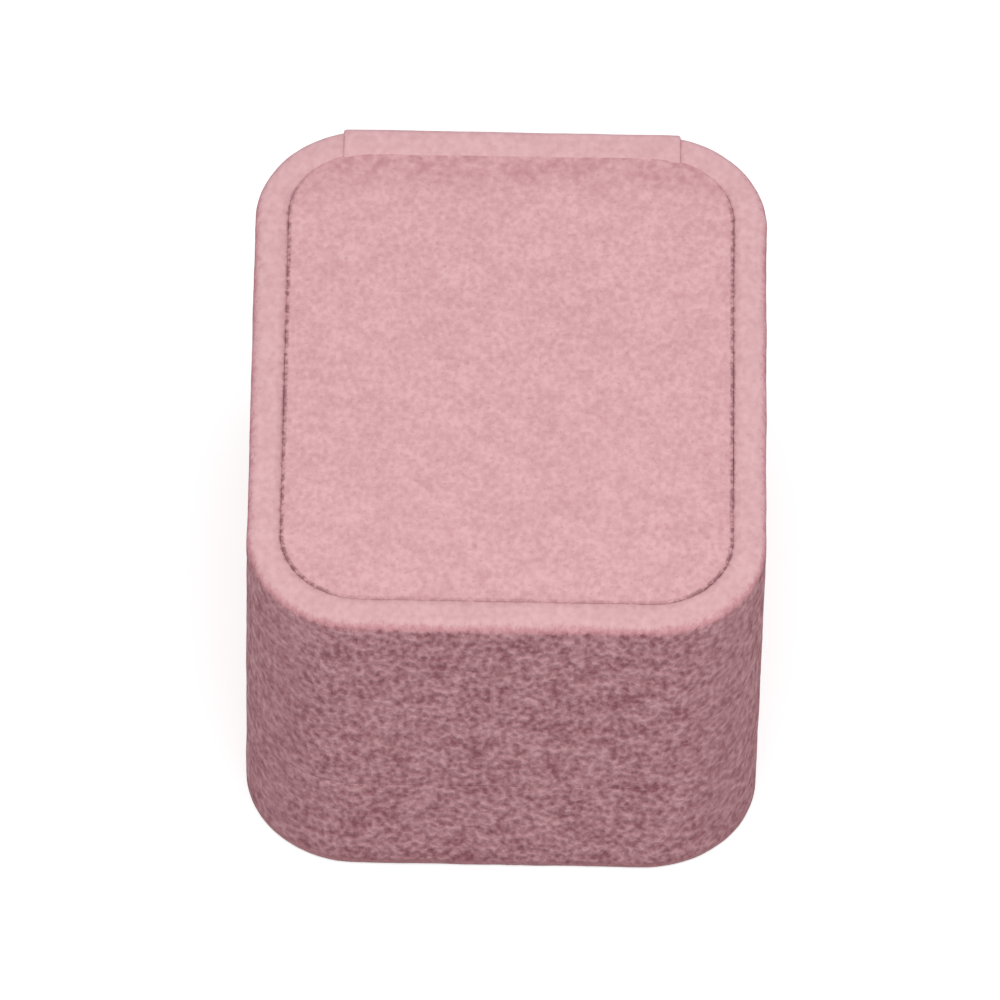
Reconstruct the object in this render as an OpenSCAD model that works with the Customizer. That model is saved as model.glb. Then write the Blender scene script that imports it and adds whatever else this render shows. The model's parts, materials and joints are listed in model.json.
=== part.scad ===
// Hinged jewellery box: two moulded frames wrapped in velvet, with inset panels
// in the top and the bottom, a steel snap hinge under a velvet spine, satin
// linings, and two foam ring pads with a slot between them.
// Millimetres. +Z is up, -Y is the front, and the origin is the middle of the
// underside. The lid is drawn shut.

/* [Body] */
// Width of the shut box, over the velvet
body_w = 60; // [54:0.5:72]
// Depth from the front to the back, over the velvet
body_d = 74; // [66:0.5:88]
// Height of the shut box
body_h = 46; // [42:0.5:56]
// Height of the line where the lid meets the base
base_h = 15.6; // [14:0.2:18]
// Corner radius in plan, over the velvet
corner_r = 13.3; // [11.5:0.1:15]
// Gap between the velvet of the lid and of the base
part_gap = 0.3; // [0.2:0.05:0.5]

/* [Frames] */
// Wall thickness of the moulded frames
wall_t = 2.1; // [1.8:0.1:2.4]
// How far the inner ledge stands in from the wall
ledge_w = 4; // [3:0.5:5]
// Thickness of the inner ledge
ledge_t = 1.4; // [1:0.1:2]

/* [Velvet] */
// Thickness of the velvet
velvet_t = 0.9; // [0.8:0.05:1]
// Radius of the velvet over the outer rims
rim_round = 1.2; // [0.8:0.1:1.6]
// Radius of the velvet along the other folded edges
fold_round = 0.45; // [0.3:0.05:0.6]
// How far the velvet is turned in at the mouth of each half
turn_in_h = 6; // [4:0.5:8]

/* [Inset panels] */
// Thickness of the grey board in the top and bottom panels
board_t = 1.5; // [1:0.1:2]
// Gap between a panel's edge and the rim round it
panel_gap = 0.12; // [0.05:0.01:0.2]
// Width of the velvet folded under a panel's board
panel_fold_w = 5; // [3.5:0.5:7]

/* [Spine] */
// Width of the velvet strip over the hinge
spine_w = 39.7; // [36:0.1:42]
// How far the strip stands proud of the back
spine_proud = 0.15; // [0:0.05:0.3]
// How far the strip stands proud of the rim on top
spine_rise = 0.1; // [0:0.05:0.2]
// Joint between the ends of the side velvet and the strip
seam_gap = 0.05; // [0.02:0.01:0.1]

/* [Hinge] */
// Width of the steel hinge
hinge_w = 30; // [26:0.5:33]
// Number of knuckles, an odd number, so that the middle one is on the lid
knuckle_n = 5; // [3:2:7]
// Gap between neighbouring knuckles
knuckle_gap = 0.2; // [0.1:0.05:0.3]
// Thickness of the hinge's sheet steel
sheet_t = 0.45; // [0.4:0.05:0.5]
// Radius of the hinge pin
pin_r = 0.5; // [0.4:0.05:0.6]
// Radial play of the pin in the knuckles
pin_play = 0.05; // [0.03:0.01:0.08]
// Height of each leaf, from the hinge line
leaf_h = 10; // [9:0.25:11]
// Half height of the notch in the frames round the knuckles
notch_h = 1.9; // [1.7:0.1:2.2]
// Clearance round a leaf in its recess
leaf_gap = 0.4; // [0.2:0.1:0.6]
// Air between the steel and the velvet strip
steel_gap = 0.05; // [0.02:0.01:0.1]
// How far the lid opens, in degrees
open_angle = 105; // [95:1:115]
// Extra clearance angle of each bevel behind the hinge line
bevel_spare = 5; // [1:0.5:6]
// How far the cam's flats stand from the hinge line
cam_flat = 0.8; // [0.75:0.01:0.9]

/* [Snap spring and rivets] */
// Thickness of the spring strip
spring_t = 0.25; // [0.2:0.05:0.3]
// Width of the part of the spring under the rivets
spring_w = 24; // [22:0.5:26]
// Height of the part of the spring under the rivets
spring_plate_h = 5; // [4.5:0.5:5.5]
// Width of the tongue that presses on the cam
tongue_w = 4; // [2.5:0.25:4.5]
// Radius of a rivet's shank
rivet_r = 0.9; // [0.7:0.05:1]
// Radius of a rivet's heads
rivet_head_r = 1.5; // [1.3:0.1:1.8]
// Thickness of a rivet's inner head
rivet_head_t = 0.45; // [0.3:0.05:0.5]
// Clearance round the shank
rivet_gap = 0.05; // [0.02:0.01:0.1]
// Distance between the two rivets of a leaf
rivet_pitch = 18; // [16:0.5:20]
// Height of the rivets, from the hinge line
rivet_drop = 6; // [5.5:0.25:6.5]

/* [Linings] */
// Thickness of the card behind the satin
card_t = 0.8; // [0.6:0.1:1]
// Thickness of the satin
satin_t = 0.5; // [0.4:0.05:0.6]
// Thickness of the boards under the ring pads and in the lid's cushion
insert_t = 1.2; // [1:0.1:1.5]
// Gap between the wall linings and what sits inside them
lining_gap = 0.3; // [0.2:0.05:0.5]
// Depth of the padding in the lid's cushion
cushion_h = 3.2; // [2.5:0.1:4]
// Radius of the cushion's edge
cushion_round = 2.2; // [1.5:0.1:2.4]
// Play of the cushion's board inside its satin
board_play = 0.1; // [0:0.05:0.3]

/* [Ring pads] */
// Width of the slot between the pads
slot_w = 5; // [4.6:0.1:6]
// How far the pads' edges stand above the mouth of the base
pad_proud = 1.5; // [0.5:0.1:2.5]
// How much higher the middle of a pad is
pad_crown = 0.8; // [0.4:0.1:1.2]
// Radius of a pad's top edges
pad_round = 2.6; // [2:0.1:3]
// Radius of the flat middle of a crown
crown_r = 4; // [2:0.5:8]
// Plan radius of a pad's corners beside the slot
slot_corner_r = 3; // [2.7:0.1:3.5]

/* [Hidden] */

$fn = 64;
SOFT_FN = 32;        // for the hulls of the soft pieces
ROUND_STEPS = 5;     // discs in a soft piece's rounded edge
OVER = 1;            // how far a cut runs past what it cuts
DISC = 0.01;         // thickness of the discs in a hull

VELVET = "#dba8ae";
SATIN = "#ead3cf";
PLASTIC = "#e9e6e0";
BOARD = "#a9a49b";
CARD = "#d8d2c6";
FOAM = "#efe9d2";
STEEL = "#b9bcc0";

// Distances in from the outside face of the box
wall_in = velvet_t;                        // outside of a frame's wall
wall_end = wall_in + wall_t;               // inside of a frame's wall
rim_in = wall_end + velvet_t;              // inside of the rim's velvet
card_end = rim_in + card_t;                // inside of the lining card
satin_end = card_end + satin_t;            // inside of the lining satin
insert_in = satin_end + lining_gap;        // edge of the ring pads
panel_in = rim_in + panel_gap;             // edge of an inset panel

// Heights
base_top = base_h - part_gap / 2;          // top of the base's velvet
lid_foot = base_h + part_gap / 2;          // bottom of the lid's velvet
panel_t = board_t + 2 * velvet_t;          // a panel, with its folded velvet
base_ledge = panel_t;                      // underside of the base's ledge
base_floor = base_ledge + ledge_t;         // top of the base's ledge
lid_ledge = body_h - panel_t;              // top of the lid's ledge
lid_ceiling = lid_ledge - ledge_t;         // underside of the lid's ledge
pad_foot = base_floor + insert_t;
pad_top = base_top + pad_proud;

// Hinge
back = body_d / 2;
spine_out = back + spine_proud;            // outside of the velvet strip
spine_in = spine_out - velvet_t;           // the strip's inner face
wall_back = back - wall_end;               // inner face of the rear wall
bore_r = pin_r + pin_play;
knuckle_r = bore_r + sheet_t;
hinge_y = spine_in - steel_gap - knuckle_r;
leaf_out = hinge_y + knuckle_r;            // outer face of the leaves
leaf_in = leaf_out - sheet_t;
knuckle_w = (hinge_w - (knuckle_n - 1) * knuckle_gap) / knuckle_n;
bevel = (open_angle / 2) + bevel_spare;    // slope of each bevel, from level

// A rectangle from [x0, y0] to [x1, y1], with one radius for each corner:
// lower left, lower right, upper right, upper left
module soft_rect(x0, y0, x1, y1, radii) {
    corners = [[x0, y0, 1, 1], [x1, y0, -1, 1], [x1, y1, -1, -1], [x0, y1, 1, -1]];
    difference() {
        translate([x0, y0])
            square([x1 - x0, y1 - y0]);
        for (i = [0:3]) {
            c = corners[i];
            r = radii[i];
            if (r > 0)
                translate([c[0], c[1]])
                    scale([c[2], c[3]])
                        difference() {
                            translate([-OVER, -OVER])
                                square(r + OVER);
                            translate([r, r])
                                circle(r);
                        }
        }
    }
}

// The box's plan outline, moved in by inset
module plan(inset) {
    w = body_w - 2 * inset;
    d = body_d - 2 * inset;
    r = corner_r - inset;
    square([w - 2 * r, d], center = true);
    square([w, d - 2 * r], center = true);
    for (x = [-1, 1], y = [-1, 1])
        translate([x * (w / 2 - r), y * (d / 2 - r)])
            circle(r);
}

// Sweeps a profile round the plan outline. The profile's x is the distance in
// from the outside face, and its y is the height.
module around() {
    for (i = [0:3]) {
        w = i % 2 == 0 ? body_w : body_d;
        d = i % 2 == 0 ? body_d : body_w;
        rotate([0, 0, 90 * i]) {
            translate([w / 2, d / 2 - corner_r, 0])
                rotate([90, 0, 0])
                    linear_extrude(d - 2 * corner_r)
                        mirror([1, 0])
                            children();
            translate([w / 2 - corner_r, d / 2 - corner_r, 0])
                rotate_extrude(angle = 90)
                    translate([corner_r, 0])
                        mirror([1, 0])
                            children();
        }
    }
}

// A flat profile in the YZ plane, extruded along X about the middle
module across(w) {
    rotate([90, 0, 90])
        translate([0, 0, -w / 2])
            linear_extrude(w)
                children();
}

// The zone under the velvet strip, which the side velvet leaves free
module spine_zone() {
    w = spine_w + 2 * seam_gap;
    translate([-w / 2, back - corner_r, -OVER])
        cube([w, corner_r + OVER, body_h + 2 * OVER]);
}

// The wedge behind the hinge line that lets the lid lean back
module rear_bevel() {
    reach = back + OVER - hinge_y;
    rise = reach * tan(bevel);
    across(body_w + 2 * OVER)
        polygon([[hinge_y, base_h], [hinge_y + reach, base_h + rise],
                 [hinge_y + reach, base_h - rise]]);
}

// ---- Frames

// What both frames leave free for the hinge: the notch round the knuckles, and
// a shallow recess for a leaf, above or below the hinge line
module hinge_seat(side) {
    w = hinge_w + 2 * leaf_gap;
    h = leaf_h + leaf_gap;
    translate([-w / 2, wall_back - OVER, base_h - notch_h])
        cube([w, wall_end + 2 * OVER, 2 * notch_h]);
    translate([-w / 2, leaf_in, side > 0 ? base_h : base_h - h])
        cube([w, 2 * OVER, h]);
    for (x = [-1, 1])
        translate([x * rivet_pitch / 2, wall_back - OVER, base_h + side * rivet_drop])
            rotate([-90, 0, 0])
                cylinder(h = wall_end + 2 * OVER, r = rivet_r + rivet_gap);
}

// A wall from z0 to z1 with a ledge, and a flat pad for the hinge at the back
// that runs from pad_z0 to pad_z1
module frame(z0, z1, ledge_z, pad_z0, pad_z1, side) {
    difference() {
        union() {
            around()
                translate([wall_in, z0])
                    square([wall_t, z1 - z0]);
            around()
                translate([wall_end - OVER / 2, ledge_z])
                    square([ledge_w + OVER / 2, ledge_t]);
            translate([-spine_w / 2, wall_back, pad_z0])
                cube([spine_w, spine_in - wall_back, pad_z1 - pad_z0]);
        }
        hinge_seat(side);
        rear_bevel();
    }
}

module base_frame() {
    color(PLASTIC)
        frame(velvet_t, base_top - velvet_t, base_ledge, velvet_t, base_top, -1);
}

module lid_frame() {
    color(PLASTIC)
        frame(lid_foot + velvet_t, body_h - velvet_t, lid_ceiling,
              lid_foot, body_h - velvet_t, 1);
}

// ---- Side velvet: up the wall, over the rims, and turned in at both edges

module side_velvet(z0, z1, radii, wall_z0, wall_z1, bare_z0, bare_z1) {
    difference() {
        around()
            difference() {
                soft_rect(0, z0, rim_in, z1, radii);
                translate([wall_in, wall_z0])
                    square([wall_t, wall_z1 - wall_z0]);
                translate([wall_in, bare_z0])
                    square([rim_in, bare_z1 - bare_z0]);
            }
        spine_zone();
        rear_bevel();
    }
}

module base_side_velvet() {
    color(VELVET)
        side_velvet(0, base_top, [rim_round, fold_round, fold_round, fold_round],
                    velvet_t, base_top - velvet_t,
                    base_ledge, base_top - turn_in_h);
}

module lid_side_velvet() {
    color(VELVET)
        side_velvet(lid_foot, body_h, [fold_round, fold_round, fold_round, rim_round],
                    lid_foot + velvet_t, body_h - velvet_t,
                    lid_foot + turn_in_h, lid_ledge);
}

// ---- Inset panels, drawn as the top one

module panel_board() {
    translate([0, 0, body_h - velvet_t - board_t])
        linear_extrude(board_t)
            plan(panel_in + velvet_t);
}

module panel_velvet() {
    top = body_h - velvet_t;
    fold = panel_in + panel_fold_w;
    around()
        difference() {
            soft_rect(panel_in, lid_ledge, fold, body_h, [0, 0, 0, fold_round]);
            translate([panel_in + velvet_t, top - board_t])
                square([panel_fold_w, board_t]);
        }
    translate([0, 0, top])
        linear_extrude(velvet_t)
            plan(fold);
}

// Turns a piece of the top panel into the same piece of the bottom panel
module underneath() {
    translate([0, 0, body_h])
        mirror([0, 0, 1])
            children();
}

module top_board() {
    color(BOARD)
        panel_board();
}

module top_velvet() {
    color(VELVET)
        panel_velvet();
}

module bottom_board() {
    color(BOARD)
        underneath()
            panel_board();
}

module bottom_velvet() {
    color(VELVET)
        underneath()
            panel_velvet();
}

// ---- Wall linings: a card ring, and satin over its face and mouth edge

module base_lining_card() {
    color(CARD)
        around()
            translate([rim_in, base_floor])
                square([card_t, base_top - satin_t - base_floor]);
}

module base_lining_satin() {
    color(SATIN)
        around()
            difference() {
                soft_rect(rim_in, base_floor, satin_end, base_top,
                          [0, 0, fold_round, 0]);
                translate([rim_in - OVER, base_floor - OVER])
                    square([card_t + OVER, base_top - satin_t - base_floor + OVER]);
            }
}

module lid_lining_card() {
    color(CARD)
        around()
            translate([rim_in, lid_foot + satin_t])
                square([card_t, lid_ceiling - lid_foot - satin_t]);
}

module lid_lining_satin() {
    color(SATIN)
        around()
            difference() {
                soft_rect(rim_in, lid_foot, satin_end, lid_ceiling,
                          [0, fold_round, 0, 0]);
                translate([rim_in - OVER, lid_foot + satin_t])
                    square([card_t + OVER, lid_ceiling - lid_foot]);
            }
}

// ---- Soft pieces: a pillow with rounded top edges over four corner columns

// corners is a list of [x, y, radius], and middle is where the crown is highest
module pillow(corners, z0, z1, edge, crown, middle) {
    hull() {
        for (c = corners)
            translate([c[0], c[1], z0])
                cylinder(h = z1 - edge - z0, r = c[2], $fn = SOFT_FN);
        for (c = corners, i = [1:ROUND_STEPS]) {
            a = 90 * i / ROUND_STEPS;
            translate([c[0], c[1], z1 - edge + edge * sin(a) - DISC])
                cylinder(h = DISC, r = c[2] - edge * (1 - cos(a)), $fn = SOFT_FN);
        }
        translate([middle[0], middle[1], z1 + crown - DISC])
            cylinder(h = DISC, r = crown_r, $fn = SOFT_FN);
    }
}

// Corner columns of the front ring pad, with its edges moved in by inset
function pad_corners(inset) =
    let (r = corner_r - insert_in - inset,
         x = body_w / 2 - insert_in - inset,
         y0 = -body_d / 2 + insert_in + inset,
         y1 = -slot_w / 2 - inset,
         rs = slot_corner_r - inset)
    [for (s = [-1, 1]) each [[s * (x - r), y0 + r, r], [s * (x - rs), y1 - rs, rs]]];

function pad_middle() = [0, (-body_d / 2 + insert_in - slot_w / 2) / 2];

module pad(inset, z0) {
    pillow(pad_corners(inset), z0, pad_top - inset, pad_round - inset, pad_crown, pad_middle());
}

module pad_velvet() {
    difference() {
        pad(0, pad_foot);
        pad(velvet_t, pad_foot - OVER);
    }
}

module insert_board() {
    color(BOARD)
        translate([0, 0, base_floor])
            linear_extrude(insert_t)
                plan(satin_end + lining_gap / 2);
}

module front_pad_foam() {
    color(FOAM)
        pad(velvet_t, pad_foot);
}

module front_pad_velvet() {
    color(VELVET)
        pad_velvet();
}

module rear_pad_foam() {
    color(FOAM)
        mirror([0, 1, 0])
            pad(velvet_t, pad_foot);
}

module rear_pad_velvet() {
    color(VELVET)
        mirror([0, 1, 0])
            pad_velvet();
}

// ---- Lid cushion, under the lid's ledge

// Corner columns of the cushion, with its edges moved in by inset
function cushion_corners(inset) =
    let (r = corner_r - insert_in - inset,
         x = body_w / 2 - insert_in - inset - r,
         y = body_d / 2 - insert_in - inset - r)
    [for (sx = [-1, 1], sy = [-1, 1]) [sx * x, sy * y, r]];

module cushion(inset, thickness) {
    translate([0, 0, lid_ceiling])
        mirror([0, 0, 1])
            pillow(cushion_corners(inset), 0, thickness, cushion_round - inset,
                   pad_crown, [0, 0]);
}

module lid_cushion_board() {
    color(BOARD)
        translate([0, 0, lid_ceiling - insert_t])
            linear_extrude(insert_t)
                plan(insert_in + satin_t + board_play);
}

module lid_cushion_foam() {
    color(FOAM)
        difference() {
            cushion(satin_t, insert_t + cushion_h);
            translate([0, 0, lid_ceiling - insert_t])
                linear_extrude(insert_t + OVER)
                    plan(0);
        }
}

module lid_cushion_satin() {
    color(SATIN)
        difference() {
            cushion(0, insert_t + cushion_h + satin_t);
            translate([0, 0, OVER])
                cushion(satin_t, insert_t + cushion_h + OVER);
        }
}

// ---- Hinge

// Knuckle i of the hinge, as a solid rod of radius r, longer by spare at each end
module knuckle_rod(i, r, spare) {
    x = -hinge_w / 2 + i * (knuckle_w + knuckle_gap);
    translate([x - spare, hinge_y, base_h])
        rotate([0, 90, 0])
            cylinder(h = knuckle_w + 2 * spare, r = r);
}

// A leaf on one side of the hinge line, with the knuckles that are its own
module leaf(side, own) {
    difference() {
        union() {
            translate([-hinge_w / 2, leaf_in, side > 0 ? base_h : base_h - leaf_h])
                cube([hinge_w, sheet_t, leaf_h]);
            for (i = own)
                knuckle_rod(i, knuckle_r, 0);
        }
        for (i = [0:knuckle_n - 1]) {
            if (len(search(i, own)) == 0)
                translate([-hinge_w / 2 + i * (knuckle_w + knuckle_gap) - knuckle_gap,
                           leaf_in - OVER, base_h - notch_h])
                    cube([knuckle_w + 2 * knuckle_gap, 2 * OVER, 2 * notch_h]);
        }
        translate([-hinge_w / 2 - OVER, hinge_y, base_h])
            rotate([0, 90, 0])
                cylinder(h = hinge_w + 2 * OVER, r = bore_r);
        for (x = [-1, 1])
            translate([x * rivet_pitch / 2, leaf_out, base_h + side * rivet_drop])
                rotate([90, 0, 0]) {
                    translate([0, 0, -OVER])
                        cylinder(h = sheet_t + 2 * OVER, r = rivet_r + rivet_gap);
                    cylinder(h = sheet_t, r1 = rivet_head_r, r2 = rivet_r + rivet_gap);
                }
    }
}

module base_hinge_leaf() {
    color(STEEL)
        leaf(-1, [for (i = [1:2:knuckle_n - 1]) i]);
}

// The lid's middle knuckle is a cam: a flat for shut, and a flat for open
module lid_hinge_leaf() {
    middle = (knuckle_n - 1) / 2;
    color(STEEL)
        difference() {
            leaf(1, [for (i = [0:2:knuckle_n - 1]) i]);
            for (a = [0, open_angle])
                translate([-knuckle_w / 2, hinge_y, base_h])
                    rotate([a, 0, 0])
                        translate([0, -cam_flat - OVER, -knuckle_r])
                            cube([knuckle_w, OVER, 2 * knuckle_r]);
        }
}

module hinge_pin() {
    color(STEEL)
        translate([-hinge_w / 2, hinge_y, base_h])
            rotate([0, 90, 0])
                cylinder(h = hinge_w, r = pin_r);
}

// A rivet through a leaf, the wall and what lies behind it: flush outside, and
// upset inside at behind
module rivet(x, z, behind) {
    shank = leaf_out - behind;
    translate([x, leaf_out, z])
        rotate([90, 0, 0]) {
            cylinder(h = sheet_t, r1 = rivet_head_r - rivet_gap, r2 = rivet_r);
            cylinder(h = shank, r = rivet_r);
            translate([0, 0, shank])
                cylinder(h = rivet_head_t, r = rivet_head_r);
        }
}

module base_hinge_rivets() {
    color(STEEL)
        for (x = [-1, 1])
            rivet(x * rivet_pitch / 2, base_h - rivet_drop, wall_back - spring_t);
}

module lid_hinge_rivets() {
    color(STEEL)
        for (x = [-1, 1])
            rivet(x * rivet_pitch / 2, base_h + rivet_drop, wall_back);
}

// The spring: a plate under the base's rivets, and a tongue that leans out
// through the notch and presses on the cam's flat
module snap_spring() {
    plate_mid = base_h - rivet_drop;
    bend_z = base_h - notch_h;
    press_y = hinge_y - cam_flat;
    color(STEEL)
        difference() {
            union() {
                translate([-spring_w / 2, wall_back - spring_t, plate_mid - spring_plate_h / 2])
                    cube([spring_w, spring_t, spring_plate_h]);
                across(tongue_w)
                    polygon([[wall_back - spring_t, plate_mid],
                             [wall_back, plate_mid],
                             [wall_back, bend_z],
                             [press_y, base_h - cam_flat / 2],
                             [press_y, base_h + cam_flat],
                             [press_y - spring_t, base_h + cam_flat],
                             [press_y - spring_t, base_h - cam_flat / 2],
                             [wall_back - spring_t, bend_z]]);
            }
            for (x = [-1, 1])
                translate([x * rivet_pitch / 2, wall_back - OVER, plate_mid])
                    rotate([-90, 0, 0])
                        cylinder(h = 2 * OVER, r = rivet_r + rivet_gap);
        }
}

// ---- Spine: one strip from under the top panel, over the back, to under the base

// The part of the strip that follows the rims and the recesses, up to join_y
// and a little way into the straight part
module spine_folds(join_y) {
    top = body_h + spine_rise;
    intersection() {
        around()
            difference() {
                soft_rect(wall_in, 0, rim_in, top, [0, fold_round, fold_round, 0]);
                translate([wall_in - OVER, velvet_t])
                    square([wall_end - wall_in + OVER, body_h - 2 * velvet_t]);
                translate([wall_in - OVER, base_ledge])
                    square([rim_in + OVER, lid_ledge - base_ledge]);
            }
        translate([-spine_w / 2, join_y - corner_r, -OVER])
            cube([spine_w, corner_r + wall_t / 4, top + 2 * OVER]);
    }
}

module spine_velvet() {
    join_y = wall_back + wall_t / 2;
    top = body_h + spine_rise;
    color(VELVET) {
        spine_folds(join_y);
        across(spine_w)
            difference() {
                soft_rect(join_y, 0, spine_out, top, [0, rim_round, rim_round, 0]);
                translate([join_y - OVER, velvet_t])
                    square([spine_in - join_y + OVER, body_h - 2 * velvet_t]);
            }
    }
}

base_frame();
base_side_velvet();
bottom_board();
bottom_velvet();
base_lining_card();
base_lining_satin();
insert_board();
front_pad_foam();
front_pad_velvet();
rear_pad_foam();
rear_pad_velvet();
base_hinge_leaf();
base_hinge_rivets();
hinge_pin();
snap_spring();
lid_frame();
lid_side_velvet();
top_board();
top_velvet();
lid_lining_card();
lid_lining_satin();
lid_cushion_board();
lid_cushion_foam();
lid_cushion_satin();
lid_hinge_leaf();
lid_hinge_rivets();
spine_velvet();
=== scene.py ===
import json
import math

import bmesh
import bpy
from mathutils import Matrix, Vector, noise


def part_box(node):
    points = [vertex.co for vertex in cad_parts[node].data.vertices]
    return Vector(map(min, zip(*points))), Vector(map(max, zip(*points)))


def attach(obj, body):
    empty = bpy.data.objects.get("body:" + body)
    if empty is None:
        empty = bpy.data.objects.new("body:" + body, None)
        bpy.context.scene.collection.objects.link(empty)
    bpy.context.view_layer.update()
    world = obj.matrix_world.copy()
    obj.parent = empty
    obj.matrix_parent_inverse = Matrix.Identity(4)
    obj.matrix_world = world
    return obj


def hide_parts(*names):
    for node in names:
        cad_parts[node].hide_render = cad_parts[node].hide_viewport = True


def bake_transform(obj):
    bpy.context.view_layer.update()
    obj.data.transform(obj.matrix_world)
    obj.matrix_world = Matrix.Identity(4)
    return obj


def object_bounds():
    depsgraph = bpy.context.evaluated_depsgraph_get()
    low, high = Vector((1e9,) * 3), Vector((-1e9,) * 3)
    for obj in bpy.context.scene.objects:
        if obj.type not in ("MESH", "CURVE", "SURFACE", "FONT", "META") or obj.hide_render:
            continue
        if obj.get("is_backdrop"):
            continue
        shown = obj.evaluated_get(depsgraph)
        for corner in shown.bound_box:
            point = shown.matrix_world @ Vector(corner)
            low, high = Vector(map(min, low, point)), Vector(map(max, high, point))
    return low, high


# A hinged ring box, wrapped in dusty pink velvet. All sizes are in metres.
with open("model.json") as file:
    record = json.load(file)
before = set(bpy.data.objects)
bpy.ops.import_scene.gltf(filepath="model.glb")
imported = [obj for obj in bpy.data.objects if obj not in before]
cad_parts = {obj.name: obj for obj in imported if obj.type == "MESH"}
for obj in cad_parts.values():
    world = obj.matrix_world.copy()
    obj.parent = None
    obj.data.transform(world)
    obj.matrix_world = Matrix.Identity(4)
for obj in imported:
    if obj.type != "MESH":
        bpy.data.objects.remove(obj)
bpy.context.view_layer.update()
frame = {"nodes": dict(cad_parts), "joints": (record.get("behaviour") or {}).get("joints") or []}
scene = bpy.context.scene
scene.view_settings.view_transform = "Standard"


# ---- Camera. A very long lens looks down on the box from in front. It is turned a little
# to one side and rolled by about a degree, as on a stand that isn't quite level.

BOX_CENTRE = Vector((0, 0, 0.023))
CAMERA_YAW = math.radians(0.378)
CAMERA_PITCH = math.radians(52.04)
CAMERA_ROLL = math.radians(1.33)
CAMERA_DISTANCE = 1.7028
CAMERA_LENS = 521.4                        # the lens and the sensor are in millimetres
CAMERA_SENSOR = 36
CAMERA_CLIP = 0.05
CAMERA_AIM = Vector((-0.00072, -0.00034))  # how far the aim is off the centre, right and up

forward = Vector((math.sin(CAMERA_YAW) * math.cos(CAMERA_PITCH),
                  math.cos(CAMERA_YAW) * math.cos(CAMERA_PITCH),
                  -math.sin(CAMERA_PITCH)))
level = Vector((math.cos(CAMERA_YAW), -math.sin(CAMERA_YAW), 0))
upward = level.cross(forward)
right = level * math.cos(CAMERA_ROLL) + upward * math.sin(CAMERA_ROLL)
up = upward * math.cos(CAMERA_ROLL) - level * math.sin(CAMERA_ROLL)
stand = BOX_CENTRE - forward * CAMERA_DISTANCE + right * CAMERA_AIM.x + up * CAMERA_AIM.y

camera_data = bpy.data.cameras.new("camera")
camera_data.sensor_width = CAMERA_SENSOR
camera_data.lens = CAMERA_LENS
camera_data.clip_start = CAMERA_CLIP
camera = bpy.data.objects.new("camera", camera_data)
turn = Matrix((right, up, -forward)).transposed().to_4x4()
camera.matrix_world = Matrix.Translation(stand) @ turn
scene.collection.objects.link(camera)
scene.camera = camera


# ---- Light. One wide soft box hangs overhead, a little before the box, in an even pale
# room. Together they light the box so that a colour renders about as it is written.

ROOM_LIGHT = 0.50
SOFTBOX_SIZE = 0.9
SOFTBOX_PLACE = Vector((0.03, -0.24, 0.70))
SOFTBOX_POWER = 3.9

world = bpy.data.worlds.new("room")
world.use_nodes = True
room = world.node_tree.nodes["Background"]
room.inputs["Color"].default_value = (1, 1, 1, 1)
room.inputs["Strength"].default_value = ROOM_LIGHT
scene.world = world

softbox_data = bpy.data.lights.new("softbox", "AREA")
softbox_data.shape = "SQUARE"
softbox_data.size = SOFTBOX_SIZE
softbox_data.energy = SOFTBOX_POWER
softbox = bpy.data.objects.new("softbox", softbox_data)
softbox.location = SOFTBOX_PLACE
softbox.rotation_mode = "QUATERNION"
softbox.rotation_quaternion = (SOFTBOX_PLACE - BOX_CENTRE).to_track_quat("Z", "Y")
scene.collection.objects.link(softbox)


# ---- Floor. A pale table top that keeps the box's soft shadow. To the eye, and in what
# shines, it is white, while the light that it sends back to the box is a pale table's.

MM = 0.001
FLOOR_SIZE = 3.0
FLOOR_CLEAR = 0.03 * MM          # how far it lies below the box's foot
FLOOR_SHADE = 0.40               # as it lights the box
FLOOR_SEEN_SHADE = 0.70          # as it is seen
FLOOR_GLOW = 0.55
LAID = "laid_place"              # the attribute for where a piece's points lay before it bent


class Wire:
    """An output socket that plain arithmetic can be done on, as Math nodes."""

    def __init__(self, finish, socket):
        self.finish = finish
        self.socket = socket

    def maths(self, operation, other=0.0):
        return self.finish.node("Math", {"operation": operation}, {0: self, 1: other})

    def __add__(self, other):
        return self.maths("ADD", other)

    def __sub__(self, other):
        return self.maths("SUBTRACT", other)

    def __rsub__(self, other):
        return self.finish.node("Math", {"operation": "SUBTRACT"}, {0: other, 1: self})

    def __mul__(self, other):
        return self.maths("MULTIPLY", other)

    def __abs__(self):
        return self.maths("ABSOLUTE")

    __radd__ = __add__
    __rmul__ = __mul__


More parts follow.
